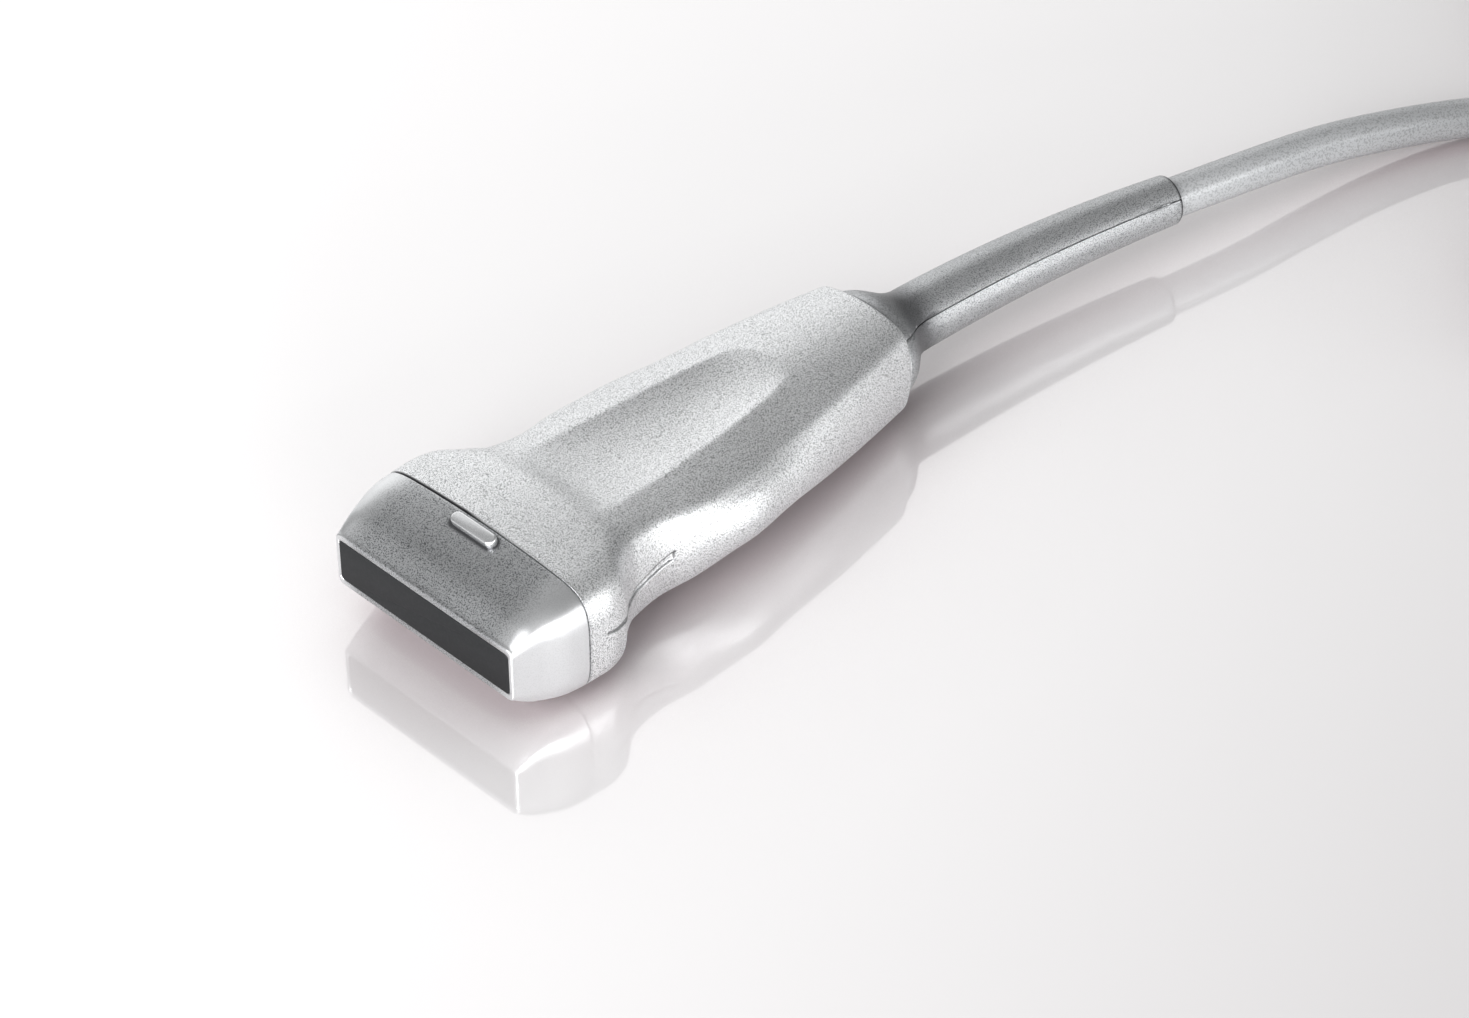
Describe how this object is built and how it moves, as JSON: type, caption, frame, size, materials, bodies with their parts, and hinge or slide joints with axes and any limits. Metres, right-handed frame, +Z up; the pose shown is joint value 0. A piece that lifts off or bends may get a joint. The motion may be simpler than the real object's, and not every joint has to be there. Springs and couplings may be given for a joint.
{
  "type": "ultrasound transducer probe",
  "caption": "Hand-held linear-array ultrasound probe with a waisted grip, flexible strain relief, coiled cable and system connector.",
  "frame": {"origin": "centre of the lens face at the front of the probe", "axes": "+X runs from the lens face back along the probe to its cable, +Y across it towards its far side, +Z up; the probe lies on its belly"},
  "size_m": [0.3742, 0.1273, 0.0242],
  "materials": {
    "housing": "fine matt texture, silver grey",
    "nose": "fine matt texture, grey",
    "lens": "smooth satin silicone",
    "matching_layers": "lapped filled epoxy",
    "ceramic": "fine-grained ceramic",
    "backing": "matt filled epoxy",
    "seal": "satin",
    "frame_plastic": "moulded, matt",
    "spreader": "milled",
    "flex": "amber polyimide film",
    "board": "solder mask over laminate",
    "socket": "moulded, matt",
    "shield": "tinned sheet",
    "conductors": "bundle of fine coaxial cores",
    "spacers": "turned",
    "screws": "plated steel",
    "clamp": "moulded, matt",
    "boot": "satin elastomer, grey",
    "ferrule": "crimped, bright",
    "jacket": "satin flexible jacket, grey",
    "connector_shell": "fine matt texture, grey",
    "contacts": "plated",
    "pins": "turned and plated"
  },
  "bodies": {
    "root": {"acoustic_lens": "lens", "matching_layer_outer": "matching_layers", "matching_layer_inner": "matching_layers", "piezo_elements": "ceramic", "backing_block": "backing", "nose_piece": "nose", "nose_seal": "seal", "array_frame": "frame_plastic", "heat_spreader": "spreader", "flex_circuit_upper": "flex", "flex_circuit_lower": "flex", "interconnect_board_upper": "board", "interconnect_board_lower": "board", "flex_socket_upper": "socket", "flex_socket_lower": "socket", "coax_socket_upper": "socket", "coax_socket_lower": "socket", "board_shield_upper": "shield", "board_shield_lower": "shield", "conductor_fan_upper": "conductors", "conductor_fan_lower": "conductors", "board_spacers": "spacers", "board_screws": "screws", "board_nuts": "screws", "cable_clamp_upper": "clamp", "cable_clamp_lower": "clamp", "clamp_screws": "screws", "clamp_nuts": "screws", "handle": "housing", "strain_relief": "boot", "crimp_ferrule": "ferrule", "cable_end": "jacket", "cable_lead": "jacket", "cable_coil": "jacket", "cable_tail": "jacket", "connector_strain_relief": "boot", "connector_ferrule": "ferrule", "connector_cable_end": "jacket", "connector_conductor_fan": "conductors", "connector_board": "board", "contact_block": "socket", "connector_contacts": "contacts", "guide_pins": "pins", "connector_shell_upper": "connector_shell", "connector_shell_lower": "connector_shell", "connector_screws": "screws"}
  },
  "joints": []
}
